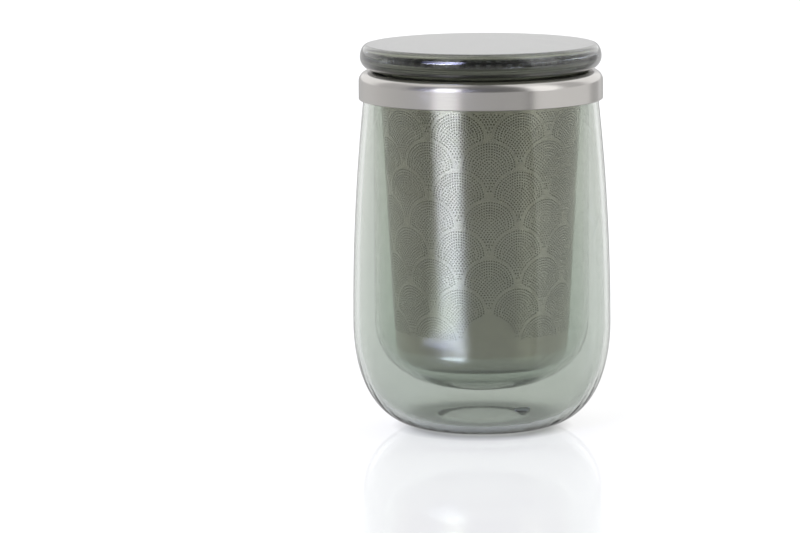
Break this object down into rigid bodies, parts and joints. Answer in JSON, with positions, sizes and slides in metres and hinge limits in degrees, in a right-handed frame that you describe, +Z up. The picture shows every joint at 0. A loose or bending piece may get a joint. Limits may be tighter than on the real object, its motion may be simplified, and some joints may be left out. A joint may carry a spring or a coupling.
{
  "type": "lidded tea glass with infuser",
  "caption": "Double-walled glass tumbler with a lift-out perforated steel infuser hung on its rim and a thick lift-off glass lid.",
  "frame": {"origin": "centre of the standing ring, on the surface the glass stands on", "axes": "+Z up along the axis that the glass, infuser and lid share"},
  "size_m": [0.09, 0.09, 0.1342],
  "materials": {
    "tinted_glass": "pale grey-green polished borosilicate glass",
    "satin_steel": "satin stainless steel, 18/8",
    "clear_silicone": "translucent food-grade silicone"
  },
  "bodies": {
    "glass": {"outer_glass": "tinted_glass", "inner_glass": "tinted_glass", "vent_plug": "clear_silicone"},
    "infuser": {"infuser_wall": "satin_steel", "infuser_cup": "satin_steel", "collar": "satin_steel"},
    "lid": {"lid_glass": "tinted_glass", "lid_seal": "clear_silicone"}
  },
  "joints": [
    {"name": "infuser_lift", "type": "slide", "parent": "glass", "child": "infuser", "axis": [0, 0, 1], "range_m": [0, 0.11]},
    {"name": "lid_lift", "type": "slide", "parent": "infuser", "child": "lid", "axis": [0, 0, 1], "range_m": [0, 0.03]}
  ]
}
